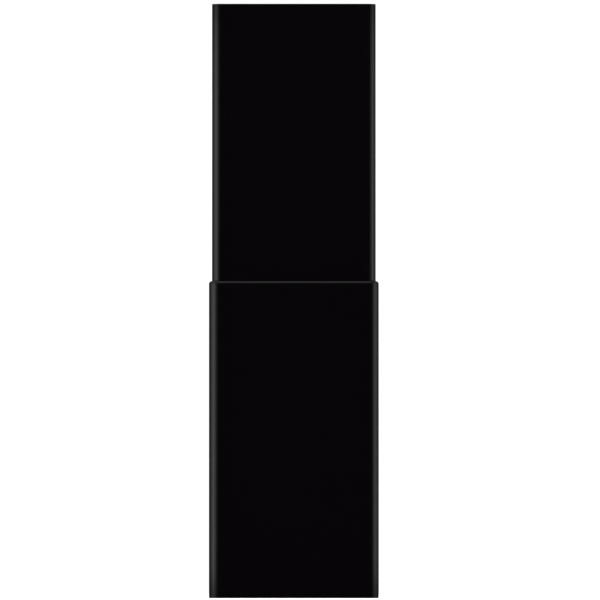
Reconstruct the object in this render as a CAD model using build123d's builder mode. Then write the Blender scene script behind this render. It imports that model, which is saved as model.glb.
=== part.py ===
from build123d import *
import os
from math import atan2, pi, sin, sqrt

# Square swivel lipstick case: a square cap on a slightly wider square base, and
# inside them a round mechanism that winds a moulded bullet up and down.
# Millimetres, +Z up. The origin is the centre of the base's underside. The case
# stands closed with the bullet wound down, and its front faces -Y.

# --- Radial sizes ---
# The case is sized from the inside out: the bullet comes from a standard mould,
# and every wall and gap is added around it.
bullet_diameter = 12.1
cup_wall = 0.45
guide_wall = 0.60
spiral_wall = 0.60
collar_wall = 0.40
liner_wall = 0.50
cap_wall = 1.20
ledge = 0.375  # how far the base stands out past the cap on each side
base_wall = 1.30
barrel_wall = 0.55

slide_gap = 0.08  # radial play between parts that slide or turn in each other
cap_gap = 0.14  # collar to the liner's bore
barrel_gap = 0.12  # collar to the insert that it turns in
register_gap = 0.12  # square register to the inside of the cap
fit_gap = 0.025  # parts that are pressed or glued together
axial_gap = 0.10  # end play of the turning parts

bullet_r = bullet_diameter / 2
cup_r = bullet_r + cup_wall
guide_bore_r = cup_r + slide_gap
guide_r = guide_bore_r + guide_wall
spiral_bore_r = guide_r + slide_gap
spiral_r = spiral_bore_r + spiral_wall
collar_r = spiral_r + collar_wall
liner_bore_r = collar_r + cap_gap
liner_r = liner_bore_r + liner_wall
cap_inside = 2 * (liner_r + fit_gap)
cap_width = cap_inside + 2 * cap_wall
base_width = cap_width + 2 * ledge
base_inside = base_width - 2 * base_wall
barrel_bore_r = collar_r + barrel_gap
barrel_r = barrel_bore_r + barrel_wall
register_width = cap_inside - 2 * register_gap

# --- Rounding of corners and edges ---
base_corner = 1.25
cap_corner = 1.10
inside_corner = 0.60
seat_margin = 0.025  # flat left on the rim outside the cap's wall
rim_round = ledge - seat_margin
edge_break = 0.08  # moulded edges of the cap's top and the base's underside
collar_round = 0.30
lip_break = 0.10
lead_in = 0.20  # chamfers that guide one part into another

# --- Heights ---
base_height = 39.2
cap_height = 34.3
base_floor = 1.2
cap_top = 1.4
liner_top = 0.6
weight_height = 3.0
insert_floor = 1.4
flange_height = 1.5  # insert's square flange at the rim of the base
register_height = 1.2
foot_height = 1.0  # flange at the foot of the guide tube
collar_exposed = 10.9  # collar above the rim of the base
lip_height = 0.4  # rolled lip at the collar's top
bead_height = 0.6  # bead that holds the spiral down on the guide tube
cup_rest_gap = 0.2  # cup above the guide's foot when wound down
cup_floor = 0.8
cup_height = 11.0
bullet_length = 35.5
tip_clearance = 1.0  # raised tip to the ceiling of the closed cap
liner_gap = 0.3  # mouth of the liner above the register

insert_bottom = base_floor + weight_height
foot_bottom = insert_bottom + insert_floor
foot_top = foot_bottom + foot_height
turning_bottom = foot_top + axial_gap
flange_bottom = base_height - flange_height
register_top = base_height + register_height
collar_top = base_height + collar_exposed
lip_bottom = collar_top - lip_height
bead_top = lip_bottom - axial_gap
bead_bottom = bead_top - bead_height
spiral_top = bead_bottom - axial_gap
cup_bottom = foot_top + cup_rest_gap
seat = cup_bottom + cup_floor
bullet_tip = seat + bullet_length
overall_height = base_height + cap_height
cap_ceiling = overall_height - cap_top
liner_ceiling = cap_ceiling - liner_top
liner_bottom = register_top + liner_gap

# --- Drive ---
# Two lugs on the cup pass through upright slots in the guide tube, which stop
# the cup turning, into helical slots in the spiral, which lift it.
starts = 2
turns = 1.5
travel = liner_ceiling - tip_clearance - bullet_tip
lead = travel / turns
lug_diameter = 1.8
lug_height = 2.6  # middle of the lugs above the cup's underside
lug_gap = 0.10
slot_width = lug_diameter + 2 * lug_gap
lug_z = cup_bottom + lug_height
lug_tip_r = spiral_r - lug_gap
slot_top = lug_z + travel + slot_width / 2

# --- Smaller features ---
recess_width = 16.0  # sticker's recess under the base
recess_corner = 1.5
recess_depth = 0.30
label_height = 0.20
label_gap = 0.10
weight_gap = 0.20
weight_hole = 7.0
fin_width = 0.8
spigot_diameter = 9.0
key_count = 6
key_width = 1.6
key_reach = 0.8
fill_hole = 5.0
bead_reach = 0.35
brake_depth = 0.30  # brake band let into the guide tube
brake_height = 1.2
brake_gap = 0.02
brake_round = 0.10
lip_gap = 0.10
cup_hole = 2.0
slant_drop = 8.0  # tip of the bullet above the lowest point of its slant
slant_crown = 0.45  # part of the radius that is left uncut at the tip
crown_round = 0.8
liner_flange = 0.8
grip_count = 8  # ribs in the liner that grip the collar
grip_r = 0.25
grip_height = 7.0
grip_gap = 0.03

os.makedirs("parts", exist_ok=True)

# --- Base shell: square moulded cup with a rounded rim and a recess underneath ---
with BuildPart() as base_shell:
    with BuildSketch():
        RectangleRounded(base_width, base_width, base_corner)
    extrude(amount=base_height)
    fillet(base_shell.edges().group_by(Axis.Z)[-1], rim_round)
    fillet(base_shell.edges().group_by(Axis.Z)[0], edge_break)
    with BuildSketch(Plane.XY.offset(base_floor)):
        RectangleRounded(base_inside, base_inside, inside_corner)
    extrude(amount=base_height - base_floor, mode=Mode.SUBTRACT)
    with BuildSketch():
        RectangleRounded(recess_width, recess_width, recess_corner)
    extrude(amount=recess_depth, mode=Mode.SUBTRACT)
base_shell.part.label = "base_shell"
export_step(base_shell.part, "parts/base_shell.step")

# --- Bottom label: blank sticker in the recess ---
label_width = recess_width - 2 * label_gap
with BuildPart() as bottom_label:
    with BuildSketch(Plane.XY.offset(recess_depth - label_height)):
        RectangleRounded(label_width, label_width, recess_corner - label_gap)
    extrude(amount=label_height)
bottom_label.part.label = "bottom_label"
export_step(bottom_label.part, "parts/bottom_label.step")

# --- Base weight: steel plate on the shell's floor ---
weight_width = base_inside - 2 * weight_gap
with BuildPart() as base_weight:
    with BuildSketch(Plane.XY.offset(base_floor)):
        RectangleRounded(weight_width, weight_width, inside_corner)
    extrude(amount=weight_height)
    chamfer(base_weight.edges().group_by(Axis.Z)[-1], lead_in)
    with BuildSketch(Plane.XY.offset(base_floor)):
        Circle(weight_hole / 2)
    extrude(amount=weight_height, mode=Mode.SUBTRACT)
base_weight.part.label = "base_weight"
export_step(base_weight.part, "parts/base_weight.step")

# --- Guide tube: keyed spigot, foot flange, slotted tube and retaining bead ---
brake_middle = (slot_top + spiral_top) / 2
with BuildPart() as guide_tube:
    with BuildSketch(Plane.XY.offset(insert_bottom)):
        Circle(spigot_diameter / 2)
        with PolarLocations(spigot_diameter / 2, key_count):
            Rectangle(2 * key_reach, key_width)
    extrude(amount=insert_floor)
    with BuildSketch(Plane.XY.offset(foot_bottom)):
        Circle(spiral_r)
    extrude(amount=foot_height)
    with BuildSketch(Plane.XY.offset(foot_top)):
        Circle(guide_r)
    extrude(amount=bead_top - foot_top)
    with BuildSketch(Plane.XY.offset(bead_bottom)):
        Circle(guide_r + bead_reach)
    extrude(amount=bead_height)
    chamfer(guide_tube.edges().group_by(Axis.Z)[-1], lead_in)
    with BuildSketch(Plane.XY.offset(foot_top)):
        Circle(guide_bore_r)
    extrude(amount=bead_top - foot_top, mode=Mode.SUBTRACT)
    with BuildSketch(Plane.XY.offset(insert_bottom)):
        Circle(fill_hole / 2)
    extrude(amount=insert_floor + foot_height, mode=Mode.SUBTRACT)
    with BuildSketch(Plane.XY.offset(brake_middle - brake_height / 2)):
        Circle(guide_r)
        Circle(guide_r - brake_depth, mode=Mode.SUBTRACT)
    extrude(amount=brake_height, mode=Mode.SUBTRACT)
    with BuildSketch(Plane.YZ):
        with Locations((0, lug_z + travel / 2)):
            SlotCenterToCenter(travel, slot_width, rotation=90)
    extrude(amount=spiral_r, both=True, mode=Mode.SUBTRACT)
guide_tube.part.label = "guide_tube"
export_step(guide_tube.part, "parts/guide_tube.step")

# --- Brake band: silicone ring in the guide's groove that drags on the spiral ---
with BuildPart() as brake_band:
    with BuildSketch(Plane.XY.offset(brake_middle - brake_height / 2)):
        Circle(spiral_bore_r - brake_gap)
    extrude(amount=brake_height)
    fillet(brake_band.edges(), brake_round)
    with BuildSketch(Plane.XY.offset(brake_middle - brake_height / 2)):
        Circle(guide_r - brake_depth)
    extrude(amount=brake_height, mode=Mode.SUBTRACT)
brake_band.part.label = "brake_band"
export_step(brake_band.part, "parts/brake_band.step")

# --- Base insert: keyed floor, barrel, corner fins, flange and square register ---
fin_reach = (
    sqrt(2) * (base_inside / 2 - inside_corner)
    + sqrt(inside_corner**2 - (fin_width / 2) ** 2)
    - fit_gap
)
flange_width = base_inside - 2 * fit_gap
with BuildPart() as base_insert:
    with BuildSketch(Plane.XY.offset(insert_bottom)):
        Circle(barrel_r)
        with PolarLocations(fin_reach / 2, 4, start_angle=45):
            Rectangle(fin_reach, fin_width)
    extrude(amount=flange_bottom - insert_bottom)
    with BuildSketch(Plane.XY.offset(flange_bottom)):
        RectangleRounded(flange_width, flange_width, inside_corner)
    extrude(amount=flange_height)
    with BuildSketch(Plane.XY.offset(base_height)):
        RectangleRounded(register_width, register_width, inside_corner)
    extrude(amount=register_height)
    chamfer(base_insert.edges().group_by(Axis.Z)[-1], lead_in)
    with BuildSketch(Plane.XY.offset(foot_bottom)):
        Circle(barrel_bore_r)
    extrude(amount=register_top - foot_bottom, mode=Mode.SUBTRACT)
    with BuildSketch(Plane.XY.offset(insert_bottom)):
        Circle(spigot_diameter / 2 + fit_gap)
        with PolarLocations(spigot_diameter / 2, key_count):
            Rectangle(2 * (key_reach + fit_gap), key_width + 2 * fit_gap)
    extrude(amount=insert_floor, mode=Mode.SUBTRACT)
base_insert.part.label = "base_insert"
export_step(base_insert.part, "parts/base_insert.step")

# --- Spiral sleeve: tube with a left-hand helical slot for each lug ---
# A slot's path runs on past the lug's end positions by half the slot's width.
spiral_middle_r = (spiral_bore_r + spiral_r) / 2
slope = atan2(lead, 2 * pi * spiral_middle_r)
run_on = slot_width / 2 * sin(slope)
with BuildPart() as slot_cutter:
    with BuildLine() as slot_path:
        Helix(lead, travel + 2 * run_on, spiral_middle_r, (0, 0, lug_z - run_on), lefthand=True)
    helix = slot_path.edge()
    with BuildSketch(Plane(origin=helix @ 0, x_dir=(1, 0, 0), z_dir=helix % 0)):
        Rectangle(2 * spiral_wall, slot_width)
    sweep(path=helix, is_frenet=True)
with BuildPart() as spiral_sleeve:
    with BuildSketch(Plane.XY.offset(turning_bottom)):
        Circle(spiral_r)
        Circle(spiral_bore_r, mode=Mode.SUBTRACT)
    extrude(amount=spiral_top - turning_bottom)
    with PolarLocations(0, starts, start_angle=360 * run_on / lead):
        add(slot_cutter.part, mode=Mode.SUBTRACT)
spiral_sleeve.part.label = "spiral_sleeve"
export_step(spiral_sleeve.part, "parts/spiral_sleeve.step")

# --- Collar: thin metal tube round the spiral, rolled in at the top ---
with BuildPart() as collar:
    with BuildSketch(Plane.XY.offset(turning_bottom)):
        Circle(collar_r)
    extrude(amount=collar_top - turning_bottom)
    fillet(collar.edges().group_by(Axis.Z)[-1], collar_round)
    with BuildSketch(Plane.XY.offset(turning_bottom)):
        Circle(spiral_r)
    extrude(amount=lip_bottom - turning_bottom, mode=Mode.SUBTRACT)
    with BuildSketch(Plane.XY.offset(lip_bottom)):
        Circle(guide_bore_r + lip_gap)
    extrude(amount=lip_height, mode=Mode.SUBTRACT)
    lip_edge = collar.edges().group_by(Axis.Z)[-1].sort_by(SortBy.LENGTH)[0]
    fillet(lip_edge, lip_break)
collar.part.label = "collar"
export_step(collar.part, "parts/collar.step")

# --- Elevator cup: holds the bullet's root, with a lug on each side ---
with BuildPart() as elevator_cup:
    with BuildSketch(Plane.XY.offset(cup_bottom)):
        Circle(cup_r)
    extrude(amount=cup_height)
    with BuildSketch(Plane.YZ):
        with Locations((0, lug_z)):
            Circle(lug_diameter / 2)
    extrude(amount=lug_tip_r, both=True)
    with BuildSketch(Plane.XY.offset(seat)):
        Circle(bullet_r)
    extrude(amount=cup_height, mode=Mode.SUBTRACT)
    with BuildSketch(Plane.XY.offset(cup_bottom)):
        Circle(cup_hole / 2)
    extrude(amount=cup_floor, mode=Mode.SUBTRACT)
elevator_cup.part.label = "elevator_cup"
export_step(elevator_cup.part, "parts/elevator_cup.step")

# --- Bullet: moulded lipstick, slanted towards the front and rounded at the tip ---
slant_run = bullet_r * (1 + slant_crown)
slant = Plane(
    origin=(0, slant_crown * bullet_r, bullet_tip),
    x_dir=(1, 0, 0),
    z_dir=(0, -slant_drop, slant_run),
)
with BuildPart() as bullet:
    with BuildSketch(Plane.XY.offset(seat)):
        Circle(bullet_r)
    extrude(amount=bullet_length)
    split(bisect_by=slant, keep=Keep.BOTTOM)
    fillet(bullet.edges().filter_by_position(Axis.Z, seat + cup_height, bullet_tip), crown_round)
bullet.part.label = "bullet"
export_step(bullet.part, "parts/bullet.step")

# --- Cap liner: closed tube with a square mouth flange and grip ribs ---
with BuildPart() as cap_liner:
    with BuildSketch(Plane.XY.offset(liner_bottom)):
        Circle(liner_r)
    extrude(amount=cap_ceiling - liner_bottom)
    with BuildSketch(Plane.XY.offset(liner_bottom)):
        RectangleRounded(2 * liner_r, 2 * liner_r, inside_corner)
    extrude(amount=liner_flange)
    with BuildSketch(Plane.XY.offset(liner_bottom)):
        Circle(liner_bore_r)
    extrude(amount=liner_ceiling - liner_bottom, mode=Mode.SUBTRACT)
    mouth = cap_liner.edges().group_by(Axis.Z)[0].filter_by(GeomType.CIRCLE)
    chamfer(mouth.sort_by(SortBy.RADIUS)[-1], lead_in)
    with BuildSketch(Plane.XY.offset(liner_bottom + liner_flange)):
        with PolarLocations(collar_r + grip_gap + grip_r, grip_count):
            Circle(grip_r)
    extrude(amount=grip_height)
cap_liner.part.label = "cap_liner"
export_step(cap_liner.part, "parts/cap_liner.step")

# --- Cap shell: square outer cap, open below ---
with BuildPart() as cap_shell:
    with BuildSketch(Plane.XY.offset(base_height)):
        RectangleRounded(cap_width, cap_width, cap_corner)
    extrude(amount=cap_height)
    fillet(cap_shell.edges().group_by(Axis.Z)[-1], edge_break)
    with BuildSketch(Plane.XY.offset(base_height)):
        RectangleRounded(cap_inside, cap_inside, inside_corner)
    extrude(amount=cap_ceiling - base_height, mode=Mode.SUBTRACT)
cap_shell.part.label = "cap_shell"
export_step(cap_shell.part, "parts/cap_shell.step")

print("outside", base_width, "x", base_width, "x", overall_height, "travel", travel, "lead", lead)
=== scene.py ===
import logging
import math
from dataclasses import dataclass, field
from enum import Enum
from typing import Any, Optional, Sequence

import bmesh
import bpy
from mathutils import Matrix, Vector


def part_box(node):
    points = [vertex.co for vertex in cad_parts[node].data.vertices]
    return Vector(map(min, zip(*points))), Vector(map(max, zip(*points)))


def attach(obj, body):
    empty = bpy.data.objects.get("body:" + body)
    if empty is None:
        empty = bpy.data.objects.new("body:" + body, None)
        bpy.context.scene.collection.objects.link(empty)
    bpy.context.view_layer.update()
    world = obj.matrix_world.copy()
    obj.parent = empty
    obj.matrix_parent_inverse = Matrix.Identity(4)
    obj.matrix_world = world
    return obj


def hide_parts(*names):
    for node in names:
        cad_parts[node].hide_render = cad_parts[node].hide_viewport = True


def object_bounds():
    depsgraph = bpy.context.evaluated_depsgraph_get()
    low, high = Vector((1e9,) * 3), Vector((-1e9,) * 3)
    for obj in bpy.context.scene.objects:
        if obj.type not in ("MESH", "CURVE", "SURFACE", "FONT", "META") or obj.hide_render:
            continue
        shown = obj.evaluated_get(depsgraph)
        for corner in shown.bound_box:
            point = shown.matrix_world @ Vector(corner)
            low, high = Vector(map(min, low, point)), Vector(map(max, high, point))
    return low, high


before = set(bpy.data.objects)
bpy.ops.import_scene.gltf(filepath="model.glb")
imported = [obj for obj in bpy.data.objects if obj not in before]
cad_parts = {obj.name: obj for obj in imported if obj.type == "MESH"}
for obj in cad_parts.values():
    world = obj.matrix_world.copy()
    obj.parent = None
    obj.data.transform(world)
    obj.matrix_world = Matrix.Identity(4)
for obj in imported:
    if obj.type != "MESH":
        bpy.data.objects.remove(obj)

CAD_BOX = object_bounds()
MM = 0.001
TAU = 2.0 * math.pi

log = logging.getLogger("lipstick_case")

Socket = bpy.types.NodeSocket
Inputs = dict[Any, Any]
Ring = list[int]
Range = tuple[float, float]
Triple = tuple[float, float, float]
Colour = tuple[float, float, float, float]
Stops = Sequence[tuple[float, float]]

# Numbers of a Mix node's sockets when it mixes colours
COLOUR_A = 6
COLOUR_B = 7
COLOUR_OUT = 2

WHOLE: Range = (0.0, 1.0)

# Part of a noise's range that most of it lies in
MIDDLE: Range = (0.35, 0.65)

# How strong each finer octave of a noise is, as a share of the one before
OCTAVE_SHARE = 0.55

# Most of its shorter side that a rounded edge takes
EDGE_ROOM = 0.48

# Smallest radius that a square outline's corner is left with
LEAST_CORNER = 0.02 * MM

# A straight gets supports when it is longer than this many times their distance from its ends
LONG_STRAIGHT = 4.0


# --------------------------------------------------------------------------
# Small tools
# --------------------------------------------------------------------------


def linear(code: str) -> Colour:
    """Turns an sRGB hex colour into linear red, green, blue and alpha.

    Args:
        code: six hex digits, such as "8A1F33".

    Returns:
        The linear colour, with an alpha of 1.
    """
    def channel(value: float) -> float:
        """One channel from sRGB to linear."""
        return value / 12.92 if value <= 0.04045 else ((value + 0.055) / 1.055) ** 2.4

    red, green, blue = (channel(int(code[i:i + 2], 16) / 255.0) for i in (0, 2, 4))
    return red, green, blue, 1.0


def grey(level: float) -> Colour:
    """A grey of a linear level."""
    return level, level, level, 1.0


def per_mm(size: float) -> float:
    """The scale of a pattern on object coordinates whose features are size mm apart."""
    return 1.0 / (size * MM)


def limits(source: Range, result: Range) -> Inputs:
    """The inputs of a Map Range node that takes one range to another."""
    return {"From Min": source[0], "From Max": source[1], "To Min": result[0], "To Max": result[1]}


def plug(tree: bpy.types.NodeTree, node: bpy.types.Node, inputs: Inputs) -> None:
    """Links or sets a node's inputs.

    Args:
        tree: the tree that the node is in.
        node: the node.
        inputs: a socket to link, a list of sockets that all go to one input, or a
            value to set, for each input's name or number.
    """
    for key, value in inputs.items():
        if isinstance(value, Socket):
            tree.links.new(value, node.inputs[key])
        elif isinstance(value, list):
            for source in value:
                tree.links.new(source, node.inputs[key])
        else:
            node.inputs[key].default_value = value


def add_node(
    tree: bpy.types.NodeTree, kind: str, inputs: Optional[Inputs] = None, **settings: Any
) -> bpy.types.Node:
    """Adds a node to a tree, with its settings, its input values and its links.

    Args:
        tree: the shader or geometry tree.
        kind: the node's type name.
        inputs: what is linked or set, as in plug.
        settings: the node's own properties.

    Returns:
        The new node.
    """
    made = tree.nodes.new(kind)
    for name, value in settings.items():
        setattr(made, name, value)
    plug(tree, made, inputs or {})
    return made


def link_object(name: str, data: bpy.types.ID) -> bpy.types.Object:
    """Puts a mesh, a camera or a lamp in the scene, at the origin.

    Args:
        name: the object's name.
        data: what the object holds.

    Returns:
        The new object.
    """
    made = bpy.data.objects.new(name, data)
    bpy.context.scene.collection.objects.link(made)
    return made


def soften(mesh: bpy.types.Mesh, sharp_above: float = 32.0) -> None:
    """Shades a mesh smooth, except over edges that turn more than sharp_above degrees."""
    mesh.shade_smooth()
    mesh.set_sharp_from_angle(angle=math.radians(sharp_above))


def turn_outwards(mesh: bpy.types.Mesh, merge: float = 0.0005 * MM) -> None:
    """Merges a mesh's doubled points and points its faces outwards.

    Args:
        mesh: the mesh, which is changed.
        merge: how near two points are when they count as one.
    """
    work = bmesh.new()
    work.from_mesh(mesh)
    bmesh.ops.remove_doubles(work, verts=work.verts, dist=merge)
    bmesh.ops.recalc_face_normals(work, faces=work.faces)
    work.to_mesh(mesh)
    work.free()


# --------------------------------------------------------------------------
# Sections: the outline of a wall, cut from the axis outwards
# --------------------------------------------------------------------------


@dataclass(frozen=True)
class Corner:
    """A corner of a wall's section.

    Attributes:
        reach: distance from the axis, to the flat side or to the round wall.
        z: height.
        edge: radius that the edge there is rounded to.
        plan: radius of the outline's own corners, seen from above, on a square wall.
    """

    reach: float
    z: float
    edge: float = 0.0
    plan: float = 0.0


@dataclass(frozen=True)
class Station:
    """A point of a rounded section.

    Attributes:
        reach: distance from the axis.
        z: height.
        plan: radius of the outline's own corners there, on a square wall.
        outward: how much the surface faces away from the axis.
        upward: how much it faces up.
    """

    reach: float
    z: float
    plan: float
    outward: float
    upward: float


def round_section(corners: Sequence[Corner], steps: int = 6, closed: bool = False) -> list[Station]:
    """Rounds the corners of a section.

    The section runs with the material on its right: out over a top, down an outer
    side, in under a bottom, and up an inner side. An open section starts and ends
    on the axis, where a flat face closes it, and those two points give no station.

    Args:
        corners: the section's corners, in order.
        steps: how many faces a rounded edge has.
        closed: whether the last corner joins the first.

    Returns:
        The stations along the section.
    """
    stations: list[Station] = []
    count = len(corners)
    for i in range(count) if closed else range(1, count - 1):
        before, here, after = corners[i - 1], corners[i], corners[(i + 1) % count]
        point = Vector((here.reach, here.z))
        arrive = point - Vector((before.reach, before.z))
        leave = Vector((after.reach, after.z)) - point
        room = EDGE_ROOM * min(arrive.length, leave.length)
        arrive.normalize()
        leave.normalize()
        turn = math.atan2(arrive.cross(leave), arrive.dot(leave))
        edge = min(here.edge, room / math.tan(abs(turn) / 2.0))
        side = -math.copysign(1.0, turn)
        cut = edge * math.tan(abs(turn) / 2.0)
        facing = Vector((-arrive.y, arrive.x))
        centre = point - arrive * cut - facing * edge * side
        parts = steps if edge > 0.0 else 1
        for k in range(parts + 1):
            angle = turn * k / parts
            normal = Vector((
                facing.x * math.cos(angle) - facing.y * math.sin(angle),
                facing.x * math.sin(angle) + facing.y * math.cos(angle),
            ))
            spot = centre + normal * edge * side
            plan = max(here.plan + spot.x - here.reach, LEAST_CORNER)
            stations.append(Station(spot.x, spot.y, plan, normal.x, normal.y))
    return stations


def loft_square(name: str, stations: Sequence[Station], steps: int = 16) -> bpy.types.Object:
    """Makes a closed square shell from a section.

    Each station is a rounded square, and the first and last are closed by flat
    faces. Every point's normal is set from the section, so that a flat side next
    to a rounded corner reflects as a flat side.

    Args:
        name: the object's name.
        stations: the section's stations.
        steps: faces in a quarter turn of the outline's corners.

    Returns:
        The shell's object.
    """
    points: list[Vector] = []
    normals: list[Vector] = []
    rings: list[Ring] = []
    for station in stations:
        ring: Ring = []
        inner = station.reach - station.plan
        for quarter in range(4):
            corner = (quarter + 0.5) * math.pi / 2.0
            for k in range(steps + 1):
                angle = (quarter + k / steps) * math.pi / 2.0
                across, along = math.cos(angle), math.sin(angle)
                x = math.copysign(inner, math.cos(corner)) + station.plan * across
                y = math.copysign(inner, math.sin(corner)) + station.plan * along
                ring.append(len(points))
                points.append(Vector((x, y, station.z)))
                facing = Vector((across * station.outward, along * station.outward, station.upward))
                normals.append(facing.normalized())
        rings.append(ring)
    faces: list[Ring] = [rings[0]]
    for upper, lower in zip(rings, rings[1:]):
        for i, _ in enumerate(upper):
            j = (i + 1) % len(upper)
            faces.append([upper[i], lower[i], lower[j], upper[j]])
    faces.append(rings[-1][::-1])
    mesh = bpy.data.meshes.new(name)
    mesh.from_pydata(points, [], faces)
    mesh.shade_smooth()
    mesh.normals_split_custom_set_from_vertices(normals)
    return link_object(name, mesh)


def with_supports(stations: Sequence[Station], near: float) -> list[Station]:
    """Adds a station at both ends of each long straight, so that smooth shading stays at the edges.

    Args:
        stations: the stations of a closed section.
        near: distance of the added stations from the straight's ends.

    Returns:
        The stations with those added.
    """
    result: list[Station] = []
    for here, after in zip(stations, [*stations[1:], stations[0]]):
        result.append(here)
        start = Vector((here.reach, here.z))
        run = Vector((after.reach, after.z)) - start
        if run.length > LONG_STRAIGHT * near:
            for share in (near / run.length, 1.0 - near / run.length):
                spot = start + run * share
                result.append(Station(spot.x, spot.y, here.plan, here.outward, here.upward))
    return result


def section_mesh(name: str, stations: Sequence[Station], path_radius: float) -> bpy.types.Mesh:
    """Makes the closed line of a round wall's section.

    Args:
        name: the mesh's name.
        stations: the section's stations.
        path_radius: radius of the circle that the section is turned round.

    Returns:
        The line, measured from that circle.
    """
    mesh = bpy.data.meshes.new(name)
    count = len(stations)
    points = [(s.reach - path_radius, -s.z, 0.0) for s in stations]
    mesh.from_pydata(points, [(i, (i + 1) % count) for i in range(count)], [])
    return mesh


# --------------------------------------------------------------------------
# Geometry Nodes
# --------------------------------------------------------------------------


@dataclass
class GeometryTree:
    """A Geometry Nodes tree that is run once and leaves a plain mesh."""

    name: str
    tree: bpy.types.NodeTree = field(init=False)
    start: bpy.types.Node = field(init=False)
    sockets: dict[str, str] = field(init=False, default_factory=dict)

    def __post_init__(self) -> None:
        """Starts the tree, with geometry in and out."""
        self.tree = bpy.data.node_groups.new(self.name, "GeometryNodeTree")
        self.tree.interface.new_socket("Geometry", in_out="INPUT", socket_type="NodeSocketGeometry")
        self.tree.interface.new_socket("Geometry", in_out="OUTPUT", socket_type="NodeSocketGeometry")
        self.start = add_node(self.tree, "NodeGroupInput")

    def size(self, name: str, kind: str = "NodeSocketFloat") -> Socket:
        """Adds a named input.

        Args:
            name: the input's name.
            kind: its socket type.

        Returns:
            Its socket inside the tree.
        """
        made = self.tree.interface.new_socket(name, in_out="INPUT", socket_type=kind)
        self.sockets[name] = made.identifier
        return self.start.outputs[name]

    def add(self, kind: str, inputs: Optional[Inputs] = None, **settings: Any) -> Socket:
        """Adds a node and returns its first output."""
        return add_node(self.tree, kind, inputs, **settings).outputs[0]

    def raised(self, geometry: Socket, height: Socket) -> Socket:
        """Moves geometry up by a height."""
        up = self.add("ShaderNodeCombineXYZ", {"Z": height})
        return self.add("GeometryNodeTransform", {"Geometry": geometry, "Translation": up})

    def turned(self, path_radius: Socket, facets: Socket) -> Socket:
        """Turns the section that the tree starts from round a circle, as a lathe would.

        Args:
            path_radius: the circle's radius.
            facets: how many sides it has.

        Returns:
            The wall.
        """
        section = self.add("GeometryNodeMeshToCurve", {"Mesh": self.start.outputs["Geometry"]})
        path = self.add("GeometryNodeCurvePrimitiveCircle", {"Resolution": facets, "Radius": path_radius})
        upright = self.add("GeometryNodeSetCurveNormal", {"Curve": path}, mode="Z_UP")
        return self.add("GeometryNodeCurveToMesh", {"Curve": upright, "Profile Curve": section})

    def end(self, geometry: Socket) -> None:
        """Ends the tree: smooth faces, realized instances and the piece's material.

        Args:
            geometry: what the tree has made.
        """
        material = self.size("Material", "NodeSocketMaterial")
        smooth = self.add("GeometryNodeSetShadeSmooth", {"Geometry": geometry})
        real = self.add("GeometryNodeRealizeInstances", {"Geometry": smooth})
        dressed = self.add("GeometryNodeSetMaterial", {"Geometry": real, "Material": material})
        add_node(self.tree, "NodeGroupOutput", {0: dressed})

    def run(self, name: str, base: bpy.types.Mesh, values: dict[str, Any]) -> bpy.types.Object:
        """Runs the tree on a mesh.

        Args:
            name: the finished object's name.
            base: the mesh that the tree starts from.
            values: a value for each named input.

        Returns:
            An object at the origin that holds the result as a plain mesh.
        """
        made = link_object(name, base)
        modifier = made.modifiers.new(self.name, "NODES")
        modifier.node_group = self.tree
        for key, value in values.items():
            modifier[self.sockets[key]] = value
        depsgraph = bpy.context.evaluated_depsgraph_get()
        result = bpy.data.meshes.new_from_object(made.evaluated_get(depsgraph))
        made.modifiers.remove(modifier)
        made.data = result
        turn_outwards(result)
        soften(result)
        return made


def turned_wall_tree() -> GeometryTree:
    """Builds the tree of a plain turned wall.

    Returns:
        The tree.
    """
    tree = GeometryTree("turned_wall")
    path_radius = tree.size("Path Radius")
    facets = tree.size("Facets", "NodeSocketInt")
    tree.end(tree.turned(path_radius, facets))
    return tree


def ribbed_liner_tree() -> GeometryTree:
    """Builds the tree of the liner: a turned wall, a square mouth flange, and ribs round the bore.

    Returns:
        The tree.
    """
    tree = GeometryTree("ribbed_liner")
    path_radius = tree.size("Path Radius")
    facets = tree.size("Facets", "NodeSocketInt")
    flange_width = tree.size("Flange Width")
    flange_corner = tree.size("Flange Corner")
    corner_facets = tree.size("Corner Facets", "NodeSocketInt")
    flange_height = tree.size("Flange Height")
    bore = tree.size("Bore Radius")
    mouth = tree.size("Mouth Height")
    rib_count = tree.size("Rib Count", "NodeSocketInt")
    rib_facets = tree.size("Rib Facets", "NodeSocketInt")
    rib_circle = tree.size("Rib Circle")
    rib_radius = tree.size("Rib Radius")
    rib_height = tree.size("Rib Height")
    rib_middle = tree.size("Rib Middle")

    wall = tree.turned(path_radius, facets)

    square = tree.add(
        "GeometryNodeCurvePrimitiveQuadrilateral", {"Width": flange_width, "Height": flange_width}
    )
    rounded = tree.add("GeometryNodeFilletCurve", {
        "Curve": square, "Radius": flange_corner, "Count": corner_facets,
    }, mode="POLY")
    hole = tree.add("GeometryNodeCurvePrimitiveCircle", {"Resolution": facets, "Radius": bore})
    outline = tree.add("GeometryNodeJoinGeometry", {0: [rounded, hole]})
    under = tree.add("GeometryNodeFillCurve", {"Curve": outline})
    over = tree.add("GeometryNodeExtrudeMesh", {
        "Mesh": under, "Offset Scale": flange_height, "Individual": False,
    }, mode="FACES")
    turned_under = tree.add("GeometryNodeFlipFaces", {"Mesh": under})
    flange = tree.add("GeometryNodeJoinGeometry", {0: [over, turned_under]})
    placed = tree.raised(flange, mouth)

    spots = tree.add("GeometryNodeMeshCircle", {"Vertices": rib_count, "Radius": rib_circle})
    rib = tree.add("GeometryNodeMeshCylinder", {
        "Vertices": rib_facets, "Radius": rib_radius, "Depth": rib_height,
    })
    ribs = tree.add("GeometryNodeInstanceOnPoints", {"Points": spots, "Instance": rib})

    tree.end(tree.add("GeometryNodeJoinGeometry", {0: [wall, placed, tree.raised(ribs, rib_middle)]}))
    return tree


# --------------------------------------------------------------------------
# Finishes
# --------------------------------------------------------------------------


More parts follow.
